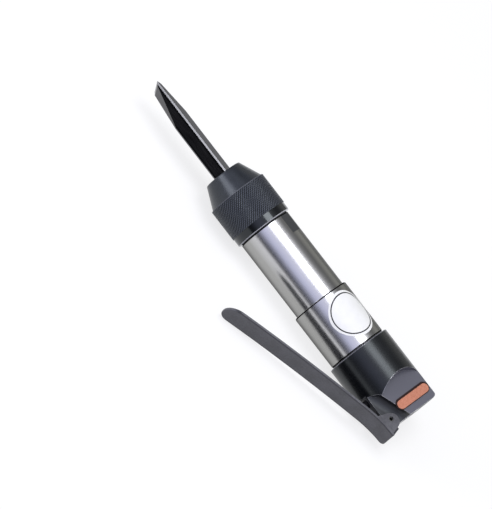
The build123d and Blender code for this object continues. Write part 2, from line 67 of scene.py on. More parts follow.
CAD_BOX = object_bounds()
MM = 0.001

# The tool lies rolled about its axis. The decal and the cheek with the plate face along CHEEK_NORMAL.
REST_ROLL = radians(13.0)
CHEEK_NORMAL = Vector((0.0, -sin(REST_ROLL), cos(REST_ROLL)))
AWAY_FROM_LEVER = Vector((0.0, cos(REST_ROLL), sin(REST_ROLL)))

# Head: radii between which a milled face gives way to the turned outside, inner radius of the front chamfer,
# and station just behind it. Heights between which painted shade darkens the pocket's wall, the cheek begins
# and the arc-shaped wall above the cheek begins
HEAD_R = 24.2 * MM
MILLED_R = (HEAD_R - 0.25 * MM, HEAD_R - 0.1 * MM)
HEAD_RIM_R = HEAD_R - 0.4 * MM
HEAD_FRONT = 57.7 * MM
CHEEK_HEIGHT = 15.2 * MM
POCKET_WALL_SHADE = (11.2 * MM, 12.8 * MM)
CHEEK_START = (CHEEK_HEIGHT - 0.2 * MM, CHEEK_HEIGHT - 0.05 * MM)
ARC_START = (CHEEK_HEIGHT + 0.1 * MM, CHEEK_HEIGHT + 0.25 * MM)

# Barrel: its spanner flats lie inside a radius and behind a station, and painted shade darkens its front
# edge, next to the nose, between two stations
FLAT_R = 19.9 * MM
FLAT_FRONT = 165.2 * MM
BARREL_SEAM_SHADE = (164.65 * MM, 165.3 * MM)

# Sleeve: stations of its edges, darkened by painted shade where it meets the head and the barrel, and radius
# inside which its front face is bare
SLEEVE_REAR_EDGE = 59.6 * MM
SLEEVE_FRONT_EDGE = 100.8 * MM
SLEEVE_FACE_R = 21.4 * MM

# Nose: station behind which its rear edge is pale bare steel, partly a painted highlight line
NOSE_HIGHLIGHT_EDGE = 166.5 * MM

# Lever: heights between which painted shade darkens its fold, and between which that shade ends
FOLD_SHADE_START = (7.7 * MM, 9.0 * MM)
FOLD_SHADE_END = (9.4 * MM, 9.6 * MM)

# Chisel: distances from the axis between which painted shade darkens its faces, and between which its ground
# corners begin
CHISEL_SHADE_BAND_R = (6.2 * MM, 6.7 * MM)
CHISEL_CORNER_R = (7.07 * MM, 7.12 * MM)

# Knurl on the nose: slanting ridges, notched where a shallower set of grooves crosses them. Each ridge runs
# round by the pitch of KNURL_TWIST ridges from one end to the other. KNURL_FLAT is the share of the pitch
# that the flat crest takes up, and the rim width is that of the pale rim at the front, a painted highlight
KNURL_REAR = 172.3 * MM
KNURL_FRONT = 197.0 * MM
KNURL_COUNT = 76
KNURL_TWIST = 10
KNURL_ROWS = 4 * KNURL_TWIST
KNURL_CORE_R = 21.7 * MM
KNURL_ROOT_R = 22.03 * MM
KNURL_NOTCH_R = 22.25 * MM
KNURL_CREST_R = 22.45 * MM
KNURL_FLAT = 0.3
KNURL_HIGHLIGHT_RIM = 0.45 * MM

# Screw threads: stations of the ends, pitch, radius in the wall and radius of the crest. Then the share of
# the pitch that a ridge's foot takes up, steps in a turn, share of the height at the very ends, and steps
# over which the height grows
INLET_THREAD = ((0.9 * MM, 11.9 * MM), 1.41 * MM, 5.95 * MM, 5.3 * MM)
SPIGOT_THREAD = ((168.4 * MM, 180.6 * MM), 2.0 * MM, 17.4 * MM, 17.78 * MM)
THREAD_FOOT = 0.85
THREAD_STEPS = 48
THREAD_TIP = 0.05
THREAD_RUN_OUT = THREAD_STEPS / 3

# Valve spring: station, distances of the poppet and the plug from the tool axis, gap at the poppet, radii of
# the coil and the wire, turns, and steps in a turn and round the wire
SPRING_STATION = 24.0 * MM
SPRING_POPPET = 1.8 * MM
SPRING_PLUG = 12.2 * MM
SPRING_GAP = 0.05 * MM
SPRING_R = 4.6 * MM
SPRING_WIRE_R = 0.5 * MM
SPRING_TURNS = 4.5
SPRING_STEPS = 48
WIRE_STEPS = 16

# Ring printed on the decal: place of its middle, radii of the ring, and how far it goes into the decal and
# stands out of it
DECAL_STATION = 80.9 * MM
DECAL_SURFACE_R = 22.05 * MM
DECAL_TURN = radians(2.0)
RING_INNER_R = 15.0 * MM
RING_OUTER_R = 15.85 * MM
RING_DEPTH = 0.05 * MM
RING_RISE = 0.02 * MM
RING_STEPS = 144

# Orange plate, and how far the painted shade round it shows along its front and rear edges and at its ends
PLATE_STATION = 9.0 * MM
PLATE_SHIFT = 2.5 * MM
PLATE_SIZE = (30.3 * MM, 6.7 * MM)
BORDER_FRONT = 1.55 * MM
BORDER_REAR = 0.45 * MM
BORDER_END = 0.9 * MM
BORDER_RISE = 0.3 * MM
BORDER_STEPS = 24

# Finishes: widths over which one turns into the next, the usual spans of the noise, and those of single
# finishes
SOFT = 0.1 * MM
SHARP = 0.05 * MM
USUAL_SPAN = (0.3, 0.7)
WIDE_SPAN = (0.25, 0.75)
KNURL_SPAN = (0.35, 0.95)
MOTTLE_SPAN = (0.38, 0.62)
SOIL_SPAN = (0.25, 0.7)
INK_SPAN = (0.3, 0.8)
FLECK_SPAN = (0.28, 0.55)

# Wear along edges: size of its patches, span of their noise, wear left between them, and samples. Then how
# metallic the worn coat and lever are, and how strong the wear on the chisel is
WEAR_PATCH = 2.5 * MM
WEAR_SPAN = (0.35, 0.6)
WEAR_LEAST = 0.25
WEAR_SAMPLES = 6
WORN_COAT_METAL = 0.7
WORN_LEVER_METAL = 0.5
CHISEL_WEAR = 0.5

# Black coat: roughness added on milled faces and on the nose's collar. Lever: share of the large patches in
# its mottle
MILLED_ROUGHER = 0.16
COLLAR_ROUGHER = -0.16
MOTTLE_SHARE = 0.6

# Turned steel: share of the rings against the smears in its gloss, how far the roughness goes either way,
# share of the colour left in a smear, and span over which painted shade darkens polished steel as it turns
# away from the eye
RING_SHARE = 0.6
GLOSS_SWING = (-0.04, 0.05)
SMEAR_SHADE = 0.93
SMEAR_SPAN = (0.3, 0.75)
TURN_AWAY_SHADE = (0.04, 0.3)

# Tints of the reflections on blued, polished and ground steel, and colours that are used more than once
BLUED = (0.89, 0.96, 1.0, 1.0)
POLISHED = (0.3, 0.3, 0.3, 1.0)
GROUND = (0.92, 0.92, 0.92, 1.0)
SEAM_SHADE = (0.01, 0.01, 0.011)
RUBBED_GREY = (0.117, 0.115, 0.137)
BARE_NOSE_AND_HIGHLIGHT = (0.60, 0.60, 0.62)

# Camera: direction from the tool, roll, distance, the photo pixel at which a point on the axis shows, scale,
# and the lens's sensor and reach
PHOTO_WIDTH = 492
PHOTO_HEIGHT = 509
VIEW_AZIMUTH = radians(5.232)
VIEW_ELEVATION = radians(43.38)
VIEW_ROLL = radians(48.8)
VIEW_DISTANCE = 4.0
AXIS_POINT = Vector((-0.1414, 0.0, 0.0))
AXIS_PIXEL = (285.6, 256.1)
PIXELS_PER_METRE = 1428.6
SENSOR = 36.0
VIEW_REACH = 100.0

# Studio: a pale floor whose glow fades out past the picture, and a light tent graded round the tool axis.
# Its angles go up from the horizon on the lever's side, over the top, and down to the horizon behind.
FLOOR_SIZE = 40.0
FLOOR_COLOUR = (0.3, 0.3, 0.297)
FLOOR_GLOW = 0.73
GLOW_FADE = (0.42, 0.8)
TENT = (
    (0, (0.06, 0.06, 0.065)),
    (11, (0.11, 0.112, 0.14)),
    (21, (0.36, 0.37, 0.47)),
    (32, (0.70, 0.72, 0.94)),
    (45, (0.87, 0.88, 1.12)),
    (60, (0.87, 0.88, 1.04)),
    (98, (0.77, 0.77, 0.80)),
    (112, (0.43, 0.43, 0.44)),
    (122, (0.26, 0.26, 0.27)),
    (134, (0.24, 0.24, 0.25)),
    (148, (0.45, 0.45, 0.44)),
    (160, (0.60, 0.60, 0.58)),
    (178, (0.42, 0.42, 0.41)),
)
# The tent darkens right at the chisel's end: share of light left there, and where the fall begins and ends
TENT_FRONT = 0.15
TENT_FALL = (-0.78, -0.95)

# Softboxes: place, point that each is aimed at, size, radiance and colour
LAMPS = {
    "overhead": ((-0.17, -0.155, 1.0), (-0.17, 0.0, 0.0), (0.46, 0.45), 5.8, (0.94, 0.95, 0.97)),
    "front_left": ((-1.4, -0.8, 0.38), (-0.2, 0.0, 0.0), (0.9, 0.5), 5.0, (0.92, 0.92, 1.0)),
}


class Nodes:
    """Adds and joins the nodes of one tree."""

    def __init__(self, tree):
        self.tree = tree

    def add(self, kind, **settings):
        """A new node with these settings."""
        node = self.tree.nodes.new(kind)
        for name, value in settings.items():
            setattr(node, name, value)
        return node

    def link(self, source, target):
        """Joins an output to an input."""
        self.tree.links.new(source, target)

    def spread(self, source, low, high, to_low, to_high):
        """Source, from low to high, made into a number from to_low to to_high."""
        node = self.add("ShaderNodeMapRange")
        for name, value in zip(("From Min", "From Max", "To Min", "To Max"), (low, high, to_low, to_high)):
            node.inputs[name].default_value = value
        self.link(source, node.inputs["Value"])
        return node.outputs["Result"]

    def over(self, source, low, high):
        """0 where the source is below low, rising to 1 where it is above high."""
        return self.spread(source, low, high, 0.0, 1.0)

    def under(self, source, low, high):
        """1 where the source is below low, falling to 0 where it is above high."""
        return self.spread(source, low, high, 1.0, 0.0)

    def combine(self, operation, first, second):
        """Two numbers joined by a math operation. The second may be a plain value."""
        node = self.add("ShaderNodeMath", operation=operation)
        self.link(first, node.inputs[0])
        if isinstance(second, float):
            node.inputs[1].default_value = second
        else:
            self.link(second, node.inputs[1])
        return node.outputs[0]

    def times(self, first, second):
        """Product of two numbers, such as two masks. The second may be a plain value."""
        return self.combine("MULTIPLY", first, second)


class Finish(Nodes):
    """A procedural material in object coordinates, put together step by step."""

    def __init__(self, name, metallic=0.0, ior=1.45):
        self.material = bpy.data.materials.new(name)
        self.material.use_nodes = True
        super().__init__(self.material.node_tree)
        self.shader = self.tree.nodes["Principled BSDF"]
        self.shader.inputs["Metallic"].default_value = metallic
        self.shader.inputs["IOR"].default_value = ior
        self.place = self.add("ShaderNodeTexCoord").outputs["Object"]

    def to(self, name, source):
        """Feeds one of the shader's sockets."""
        self.link(source, self.shader.inputs[name])

    def reflect(self, tint):
        """Gives the shader's reflections a tint."""
        self.shader.inputs["Specular Tint"].default_value = tint

    def noise(self, size, detail=3.0, stretch=(1.0, 1.0, 1.0)):
        """Noise in patches of about this size, drawn out along each axis by stretch."""
        mapping = self.add("ShaderNodeMapping")
        mapping.inputs["Scale"].default_value = [1 / (size * factor) for factor in stretch]
        self.link(self.place, mapping.inputs["Vector"])
        texture = self.add("ShaderNodeTexNoise")
        texture.inputs["Scale"].default_value = 1.0
        texture.inputs["Detail"].default_value = detail
        self.link(mapping.outputs["Vector"], texture.inputs["Vector"])
        return texture.outputs["Fac"]

    def tint(self, source, low, high, first, last):
        """Source, from low to high, made into a colour from first to last."""
        node = self.add("ShaderNodeValToRGB")
        for element, position, colour in zip(node.color_ramp.elements, (low, high), (first, last)):
            element.position = position
            element.color = (*colour, 1.0)
        self.link(source, node.inputs["Fac"])
        return node.outputs["Color"]

    def blend(self, factor, first, colour):
        """The first colour turned into a plain second one by a factor."""
        node = self.add("ShaderNodeMix", data_type="RGBA")
        self.link(factor, node.inputs["Factor"])
        self.link(first, node.inputs["A"])
        node.inputs["B"].default_value = (*colour, 1.0)
        return node.outputs["Result"]

    def between(self, factor, first, second):
        """The first colour turned into the second by a factor."""
        node = self.add("ShaderNodeMix", data_type="RGBA")
        for name, source in (("Factor", factor), ("A", first), ("B", second)):
            self.link(source, node.inputs[name])
        return node.outputs["Result"]

    def more(self, source, mask, amount):
        """Source with an amount added where the mask is 1."""
        return self.combine("ADD", source, self.times(mask, amount))

    def mixed(self, share, first, second):
        """Two noises in one, of which the first has this share."""
        return self.more(self.times(first, share), second, 1 - share)

    def relief(self, source, height):
        """Bump of this height."""
        node = self.add("ShaderNodeBump")
        node.inputs["Distance"].default_value = height
        self.link(source, node.inputs["Height"])
        self.to("Normal", node.outputs["Normal"])

    def edges(self, radius, low=0.02, high=0.16):
        """1 along edges and 0 on open faces, broken up by noise.

        The radius is that of a rounded edge, whose normal departs from the face's by low to high.
        """
        rounded = self.add("ShaderNodeBevel", samples=WEAR_SAMPLES)
        rounded.inputs["Radius"].default_value = radius
        node = self.add("ShaderNodeVectorMath", operation="DOT_PRODUCT")
        self.link(rounded.outputs["Normal"], node.inputs[0])
        self.link(self.add("ShaderNodeNewGeometry").outputs["Normal"], node.inputs[1])
        bend = self.under(node.outputs["Value"], 1 - high, 1 - low)
        patches = self.spread(self.noise(WEAR_PATCH, detail=4.0), *WEAR_SPAN, WEAR_LEAST, 1.0)
        return self.times(bend, patches)

    def off_axis(self):
        """Distance from the tool axis."""
        across = self.add("ShaderNodeVectorMath", operation="MULTIPLY")
        across.inputs[1].default_value = (0.0, 1.0, 1.0)
        self.link(self.place, across.inputs[0])
        length = self.add("ShaderNodeVectorMath", operation="LENGTH")
        self.link(across.outputs["Vector"], length.inputs[0])
        return length.outputs["Value"]

    def height(self):
        """Distance from the tool's middle plane towards either cheek."""
        towards = self.add("ShaderNodeVectorMath", operation="DOT_PRODUCT")
        towards.inputs[1].default_value = CHEEK_NORMAL
        self.link(self.place, towards.inputs[0])
        size = self.add("ShaderNodeMath", operation="ABSOLUTE")
        self.link(towards.outputs["Value"], size.inputs[0])
        return size.outputs[0]

    def along(self):
        """Place along the tool axis."""
        parts = self.add("ShaderNodeSeparateXYZ")
        self.link(self.place, parts.inputs["Vector"])
        return parts.outputs["X"]

    def behind(self, station, soften=SOFT):
        """1 behind a station and 0 in front of it."""
        return self.over(self.along(), -station - soften, -station)

    def ahead(self, station, soften=SOFT):
        """1 in front of a station and 0 behind it."""
        return self.under(self.along(), -station - soften, -station)

    def turned_away_shade(self):
        """0 where the surface faces the eye, 1 where it turns away: the mask of painted shade on polished
        steel.
        """
        return self.over(self.add("ShaderNodeLayerWeight").outputs["Facing"], *TURN_AWAY_SHADE)


def worn_black(finish, colour, grain, roughness, worn, bare):
    """The rest of a satin black coat: bare steel where it is worn, fine grain."""
    finish.reflect(BLUED)
    finish.to("Base Color", finish.blend(worn, colour, bare))
    finish.to("Metallic", finish.times(worn, WORN_COAT_METAL))
    finish.to("Roughness", roughness)
    finish.relief(grain, 0.006 * MM)
    return finish.material


def head_black():
    """Satin black outside, duller in the milled pocket, paler on the cheeks and along the front rim, with
    painted shade on the pocket's floor and wall.
    """
    finish = Finish("black_steel", ior=1.5)
    patches = finish.noise(6 * MM, detail=4.0)
    coat = finish.tint(patches, *USUAL_SPAN, (0.0030, 0.0034, 0.0042), (0.0060, 0.0066, 0.0080))
    height = finish.height()
    reach = finish.off_axis()
    milled = finish.times(finish.under(reach, *MILLED_R), finish.behind(HEAD_FRONT))
    rim = finish.times(finish.over(reach, HEAD_RIM_R - SHARP, HEAD_RIM_R), finish.ahead(HEAD_FRONT))
    # Painted shade: the pocket's floor is darker than the cheeks, and its wall darkens to near black up
    # towards the cheek.
    wall = finish.over(height, *POCKET_WALL_SHADE)
    surface = finish.tint(wall, 0.0, 1.0, (0.046, 0.047, 0.049), (0.007, 0.007, 0.008))
    surface = finish.blend(finish.over(height, *CHEEK_START), surface, (0.120, 0.118, 0.140))
    surface = finish.blend(finish.over(height, *ARC_START), surface, RUBBED_GREY)
    colour = finish.blend(rim, finish.between(milled, coat, surface), RUBBED_GREY)
    grain = finish.noise(0.5 * MM)
    roughness = finish.more(finish.spread(grain, *WIDE_SPAN, 0.24, 0.34), milled, MILLED_ROUGHER)
    worn = finish.edges(0.6 * MM, low=0.01, high=0.08)
    return worn_black(finish, colour, grain, roughness, worn, (0.45, 0.45, 0.47))


def nose_black():
    """Duller black on the nose's cone, deep and glossy on its rear collar, pale bare steel at the rear edge,
    partly a painted highlight.
    """
    finish = Finish("nose_black", ior=1.53)
    patches = finish.noise(6 * MM, detail=4.0)
    coat = finish.tint(patches, *USUAL_SPAN, (0.010, 0.012, 0.017), (0.019, 0.022, 0.030))
    collar = finish.behind(KNURL_REAR, 2 * SOFT)
    colour = finish.blend(collar, coat, (0.0030, 0.0032, 0.0040))
    # Painted highlight: pale bare steel colour along the rear edge, which also stands for the line of light
    # on it.
    colour = finish.blend(finish.behind(NOSE_HIGHLIGHT_EDGE, SHARP), colour, BARE_NOSE_AND_HIGHLIGHT)
    grain = finish.noise(0.5 * MM)
    roughness = finish.more(finish.spread(grain, *WIDE_SPAN, 0.25, 0.35), collar, COLLAR_ROUGHER)
    return worn_black(finish, colour, grain, roughness, finish.edges(0.5 * MM), BARE_NOSE_AND_HIGHLIGHT)


def knurl_black():
    """Black in the knurl's grooves, rubbed to grey on the crests, with a painted highlight along the front
    rim.
    """
    finish = Finish("knurl_black", ior=1.5)
    finish.reflect(BLUED)
    rise = finish.over(finish.off_axis(), KNURL_ROOT_R, KNURL_CREST_R)
    colour = finish.tint(rise, *KNURL_SPAN, (0.002, 0.0025, 0.004), (0.074, 0.082, 0.104))
    # Painted highlight: a pale rim along the knurl's front edge.
    rim = finish.ahead(KNURL_FRONT - KNURL_HIGHLIGHT_RIM)
    finish.to("Base Color", finish.blend(rim, colour, (0.11, 0.11, 0.125)))
    finish.to("Roughness", finish.spread(finish.noise(0.8 * MM), *USUAL_SPAN, 0.26, 0.36))
    finish.relief(finish.noise(0.25 * MM, detail=2.0), 0.004 * MM)
    return finish.material


def oiled_steel(name, metallic, dark, light):
    """Dark pins and bushes, shiny with oil."""
    finish = Finish(name, metallic, ior=1.5)
    coat = finish.noise(0.8 * MM)
    finish.to("Base Color", finish.tint(coat, *USUAL_SPAN, dark, light))
    finish.to("Roughness", finish.spread(coat, *USUAL_SPAN, 0.22, 0.34))
    finish.relief(coat, 0.004 * MM)
    return finish.material


def turned_steel(finish, colour, roughness, ring_height):
    """Fine rings round the tool axis and faint smears along it. Gives back the colour."""
    rings = finish.noise(0.35 * MM, stretch=(1.0, 60.0, 60.0))
    smears = finish.noise(9 * MM, stretch=(3.0, 1.0, 1.0))
    gloss = [roughness + swing for swing in GLOSS_SWING]
    finish.to("Roughness", finish.spread(finish.mixed(RING_SHARE, rings, smears), *USUAL_SPAN, *gloss))
    finish.relief(rings, ring_height)
    shaded = [SMEAR_SHADE * channel for channel in colour]
    return finish.tint(smears, *SMEAR_SPAN, shaded, colour)


def polished_steel(finish):
    """Polished steel with painted shade, darker where it turns away from the eye. Gives back the colour."""
    finish.reflect(POLISHED)
    colour = turned_steel(finish, (0.62, 0.62, 0.637), 0.23, 0.003 * MM)
    # Painted shade: the steel's colour darkens towards its outline.
    return finish.blend(finish.turned_away_shade(), colour, (0.37, 0.37, 0.36))


def sleeve_steel():
    """Polished steel with painted shade lines along both edges of the sleeve. Its front face is bare."""
    finish = Finish("polished_steel", metallic=1.0)
    # Painted shade: near-black lines on the sleeve's edges where it meets the head and the barrel.
    outside = finish.over(finish.off_axis(), SLEEVE_FACE_R - SHARP, SLEEVE_FACE_R)
    front = finish.times(finish.ahead(SLEEVE_FRONT_EDGE), outside)
    seam_shades = finish.combine("ADD", front, finish.behind(SLEEVE_REAR_EDGE))
    finish.to("Base Color", finish.blend(seam_shades, polished_steel(finish), SEAM_SHADE))
    return finish.material


def barrel_steel():
    """Polished steel, darker on the milled spanner flats, with a painted shade line along its front edge."""
    finish = Finish("barrel_steel", metallic=1.0)
    inside = finish.under(finish.off_axis(), FLAT_R - SOFT, FLAT_R)
    flat = finish.times(inside, finish.behind(FLAT_FRONT))
    colour = finish.blend(flat, polished_steel(finish), (0.16, 0.165, 0.18))
    # Painted shade: a near-black line along the barrel's front edge, next to the nose.
    rear, front = BARREL_SEAM_SHADE
    seam_shade = finish.times(finish.ahead(rear), finish.behind(front))
    finish.to("Base Color", finish.blend(seam_shade, colour, SEAM_SHADE))
    return finish.material


def bright_steel():
    """Machined steel of the inner parts."""
    finish = Finish("bright_steel", metallic=1.0)
    finish.to("Base Color", turned_steel(finish, (0.58, 0.58, 0.59), 0.28, 0.006 * MM))
    return finish.material


def phosphate_steel():
    """Matt dark grey pressed steel of the lever, with painted shade along its folds, rubbed brighter along
    its edges.
    """
    finish = Finish("lever_steel", ior=1.5)
    mottle = finish.mixed(MOTTLE_SHARE, finish.noise(12 * MM, detail=4.0), finish.noise(1.2 * MM))
    colour = finish.tint(mottle, *MOTTLE_SPAN, (0.074, 0.074, 0.082), (0.135, 0.135, 0.145))
    height = finish.height()
    # Painted shade: the lever darkens along its folds.
    fold_shade = finish.times(finish.over(height, *FOLD_SHADE_START), finish.under(height, *FOLD_SHADE_END))
    colour = finish.blend(fold_shade, colour, (0.028, 0.028, 0.034))
    worn = finish.edges(0.5 * MM, low=0.04, high=0.25)
    finish.to("Base Color", finish.blend(worn, colour, (0.20, 0.20, 0.21)))
    finish.to("Metallic", finish.times(worn, WORN_LEVER_METAL))
    finish.to("Roughness", finish.spread(mottle, *USUAL_SPAN, 0.46, 0.58))
    finish.relief(finish.noise(0.6 * MM, detail=4.0), 0.012 * MM)
    return finish.material


def ground_tool_steel():
    """Dark chisel steel with grinding marks along the bar, painted shade along the edges of its faces, and
    paler ground corners.
    """
    finish = Finish("tool_steel", metallic=1.0)
    finish.reflect(GROUND)
    grind = finish.noise(0.3 * MM, stretch=(40.0, 1.0, 1.0))
    colour = finish.tint(grind, *USUAL_SPAN, (0.048, 0.048, 0.052), (0.070, 0.070, 0.075))
    reach = finish.off_axis()
    # Painted shade: darker bands along the edges of the chisel's faces.
    colour = finish.blend(finish.over(reach, *CHISEL_SHADE_BAND_R), colour, (0.022, 0.022, 0.025))
    colour = finish.blend(finish.over(reach, *CHISEL_CORNER_R), colour, (0.15, 0.15, 0.16))
    worn = finish.times(finish.edges(0.08 * MM), CHISEL_WEAR)
    finish.to("Base Color", finish.blend(worn, colour, (0.40, 0.40, 0.415)))
    finish.to("Roughness", finish.spread(grind, *WIDE_SPAN, 0.13, 0.22))
    finish.relief(grind, 0.004 * MM)
    return finish.material


def rubber():
    """Matt black rubber with a fine moulded grain."""
    finish = Finish("rubber", ior=1.5)
    grain = finish.noise(0.4 * MM, detail=4.0)
    finish.to("Base Color", finish.tint(grain, *USUAL_SPAN, (0.012, 0.012, 0.012), (0.026, 0.026, 0.027)))
    finish.to("Roughness", finish.spread(grain, *USUAL_SPAN, 0.66, 0.84))
    finish.relief(grain, 0.02 * MM)
    return finish.material


def white_film():
    """Printed film, slightly uneven in gloss and tone."""
    finish = Finish("white_film", ior=1.46)
    soil = finish.noise(5 * MM, detail=4.0)
    finish.to("Base Color", finish.tint(soil, *SOIL_SPAN, (0.90, 0.90, 0.865), (0.95, 0.95, 0.915)))
    finish.to("Roughness", finish.spread(soil, *USUAL_SPAN, 0.44, 0.56))
    finish.relief(finish.noise(2 * MM, detail=2.0), 0.006 * MM)
    return finish.material


def ink_and_painted_shade(name, dark, light):
    """Matt dark ink, a little thinner in places, also used for the painted shade round the orange plate."""
    finish = Finish(name, ior=1.3)
    coat = finish.noise(0.8 * MM)
    finish.to("Base Color", finish.tint(coat, *INK_SPAN, dark, light))
    finish.to("Roughness", finish.spread(coat, *USUAL_SPAN, 0.65, 0.8))
    return finish.material


def orange_enamel():
    """Orange enamel with small flecks, worn along its edges."""
    finish = Finish("orange_plate", ior=1.5)
    flecks = finish.noise(1.1 * MM, detail=4.0)
    enamel = finish.tint(flecks, *FLECK_SPAN, (0.48, 0.168, 0.092), (0.615, 0.238, 0.141))
    worn = finish.edges(0.2 * MM)
    finish.to("Base Color", finish.blend(worn, enamel, (0.58, 0.36, 0.27)))
    finish.to("Roughness", finish.spread(flecks, *USUAL_SPAN, 0.32, 0.46))
    finish.relief(flecks, 0.02 * MM)
    return finish.material


def bronze():
    """Turned bronze, a little tarnished."""
    finish = Finish("bronze", metallic=1.0)
    tarnish = finish.noise(3 * MM, detail=4.0)
    finish.to("Base Color", finish.tint(tarnish, *USUAL_SPAN, (0.45, 0.29, 0.13), (0.64, 0.45, 0.21)))
    finish.to("Roughness", finish.spread(tarnish, *USUAL_SPAN, 0.26, 0.42))
    finish.relief(finish.noise(0.3 * MM, detail=2.0), 0.005 * MM)
    return finish.material


def new_piece(name, mesh, body, material):
    """Turns a finished bmesh into a piece that rides on a body."""
    bmesh.ops.recalc_face_normals(mesh, faces=mesh.faces[:])
    data = bpy.data.meshes.new(name)
    mesh.to_mesh(data)
    mesh.free()
    data.materials.append(material)
    piece = bpy.data.objects.new(name, data)
    bpy.context.collection.objects.link(piece)
    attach(piece, body)
    return piece


def on_cylinder(station, radius, turn):
    """Point at a station, radius and turn about the tool axis from the cheek's direction."""
    angle = turn - REST_ROLL
    return Vector((-station, radius * sin(angle), radius * cos(angle)))


def quads(mesh, first, second):
    """Faces between two closed loops of vertices of equal length."""
    for index in range(len(first)):
        mesh.faces.new((first[index - 1], first[index], second[index], second[index - 1]))


def knurl_ring(mesh, row, profile):
    """Loop of vertices round the nose at one row of the knurl, from (share of the pitch, radius) pairs."""
    station = KNURL_REAR + (KNURL_FRONT - KNURL_REAR) * row / KNURL_ROWS
    drift = KNURL_TWIST * row / KNURL_ROWS
    return [
        mesh.verts.new(on_cylinder(station, radius, 2 * pi * (ridge + drift + share) / KNURL_COUNT))
        for ridge in range(KNURL_COUNT)
        for share, radius in profile
    ]


def knurl_band():
    """Closed ring of notched ridges round the nose."""
    mesh = bmesh.new()
    shares = (0.0, 0.5 - KNURL_FLAT / 2, 0.5 + KNURL_FLAT / 2)
    loops = []
    for row in range(KNURL_ROWS + 1):
        crest_r = KNURL_CREST_R if row % 2 else KNURL_NOTCH_R
        loops.append(knurl_ring(mesh, row, list(zip(shares, (KNURL_ROOT_R, crest_r, crest_r)))))
    core = [(share, KNURL_CORE_R) for share in shares]
    rear_core = knurl_ring(mesh, 0, core)
    front_core = knurl_ring(mesh, KNURL_ROWS, core)
    for first, second in zip([rear_core, *loops], [*loops, front_core]):
        quads(mesh, first, second)
    skip = len(shares) * KNURL_TWIST
    quads(mesh, front_core, rear_core[skip:] + rear_core[:skip])
    return mesh


def thread_ridge(ends, pitch, wall_r, crest_r):
    """Helical ridge of a screw thread, running out at both ends."""
    mesh = bmesh.new()
    start, end = ends
    half_foot = THREAD_FOOT * pitch / 2
    count = round((end - start) / pitch * THREAD_STEPS)
    sections = []
    for step in range(count + 1):
        station = start + (end - start) * step / count
        turn = 2 * pi * step / THREAD_STEPS
        height = min(1.0, THREAD_TIP + min(step, count - step) / THREAD_RUN_OUT)
        crest = wall_r + (crest_r - wall_r) * height
        profile = ((-half_foot, wall_r), (0.0, crest), (half_foot, wall_r))
        points = [on_cylinder(station + along, radius, turn) for along, radius in profile]
        sections.append([mesh.verts.new(point) for point in points])
    for first, second in zip(sections, sections[1:]):
        quads(mesh, first, second)
    for cap in (sections[0], sections[-1]):
        mesh.faces.new(cap)
    return mesh


def decal_ring():
    """Thin ring of ink that follows the curved decal."""
    mesh = bmesh.new()
    section = (
        (RING_INNER_R, DECAL_SURFACE_R - RING_DEPTH),
        (RING_OUTER_R, DECAL_SURFACE_R - RING_DEPTH),
        (RING_OUTER_R, DECAL_SURFACE_R + RING_RISE),
        (RING_INNER_R, DECAL_SURFACE_R + RING_RISE),
    )
    turns = [2 * pi * step / RING_STEPS for step in range(RING_STEPS)]
    loops = []
    for reach, radius in section:
        loops.append([
            mesh.verts.new(on_cylinder(
                DECAL_STATION + reach * cos(turn), radius, DECAL_TURN + reach * sin(turn) / DECAL_SURFACE_R
            ))
            for turn in turns
        ])
    for index, loop in enumerate(loops):
        quads(mesh, loops[index - 1], loop)
    return mesh


def plate_shade_slab():
    """Thin dark slab with round ends, a little larger than the orange plate and set towards the front:
    painted shade round the plate.
    """
    mesh = bmesh.new()
    length, width = PLATE_SIZE
    radius = (width + BORDER_FRONT + BORDER_REAR) / 2
    reach = length / 2 + BORDER_END - radius
    middle = PLATE_STATION + (BORDER_FRONT - BORDER_REAR) / 2
    loops = []
    for height in (CHEEK_HEIGHT, CHEEK_HEIGHT + BORDER_RISE):
        loop = []
        for end in (1, -1):
            centre = Vector((-middle, 0.0, 0.0)) + height * CHEEK_NORMAL
            centre += (PLATE_SHIFT + end * reach) * AWAY_FROM_LEVER
            for step in range(BORDER_STEPS + 1):
                turn = pi * step / BORDER_STEPS
                spoke = cos(turn) * Vector((end, 0.0, 0.0)) + end * sin(turn) * AWAY_FROM_LEVER
                loop.append(mesh.verts.new(centre + radius * spoke))
        loops.append(loop)
    quads(mesh, *loops)
    for loop in loops:
        mesh.faces.new(loop)
    return mesh


def spring_coil():
    """Round wire wound from the plug to the poppet."""
    mesh = bmesh.new()
    start = SPRING_PLUG - SPRING_WIRE_R
    rise = start - SPRING_POPPET - SPRING_GAP - SPRING_WIRE_R
    count = round(SPRING_TURNS * SPRING_STEPS)
    loops = []
    for step in range(count + 1):
        turn = 2 * pi * step / SPRING_STEPS
        outwards = Vector((cos(turn), 0.0, 0.0)) + sin(turn) * CHEEK_NORMAL
        centre = SPRING_R * outwards + (start - rise * step / count) * AWAY_FROM_LEVER
        centre.x -= SPRING_STATION
        loop = []
        for side in range(WIRE_STEPS):
            angle = 2 * pi * side / WIRE_STEPS
            spoke = cos(angle) * outwards + sin(angle) * AWAY_FROM_LEVER
            loop.append(mesh.verts.new(centre + SPRING_WIRE_R * spoke))
        loops.append(loop)
    for first, second in zip(loops, loops[1:]):
        quads(mesh, first, second)
    for cap in (loops[0], loops[-1]):
        mesh.faces.new(cap)
    for face in mesh.faces:
        face.smooth = len(face.verts) == 4
    return mesh


def add_spring(material):
    """The valve spring: a coil of wire that rides on the body in place of the CAD spring."""
    spring = new_piece("valve_spring_coil", spring_coil(), "body", material)
    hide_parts("valve_spring")
    seat = SPRING_PLUG * AWAY_FROM_LEVER
    seat.x -= SPRING_STATION
    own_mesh(spring)


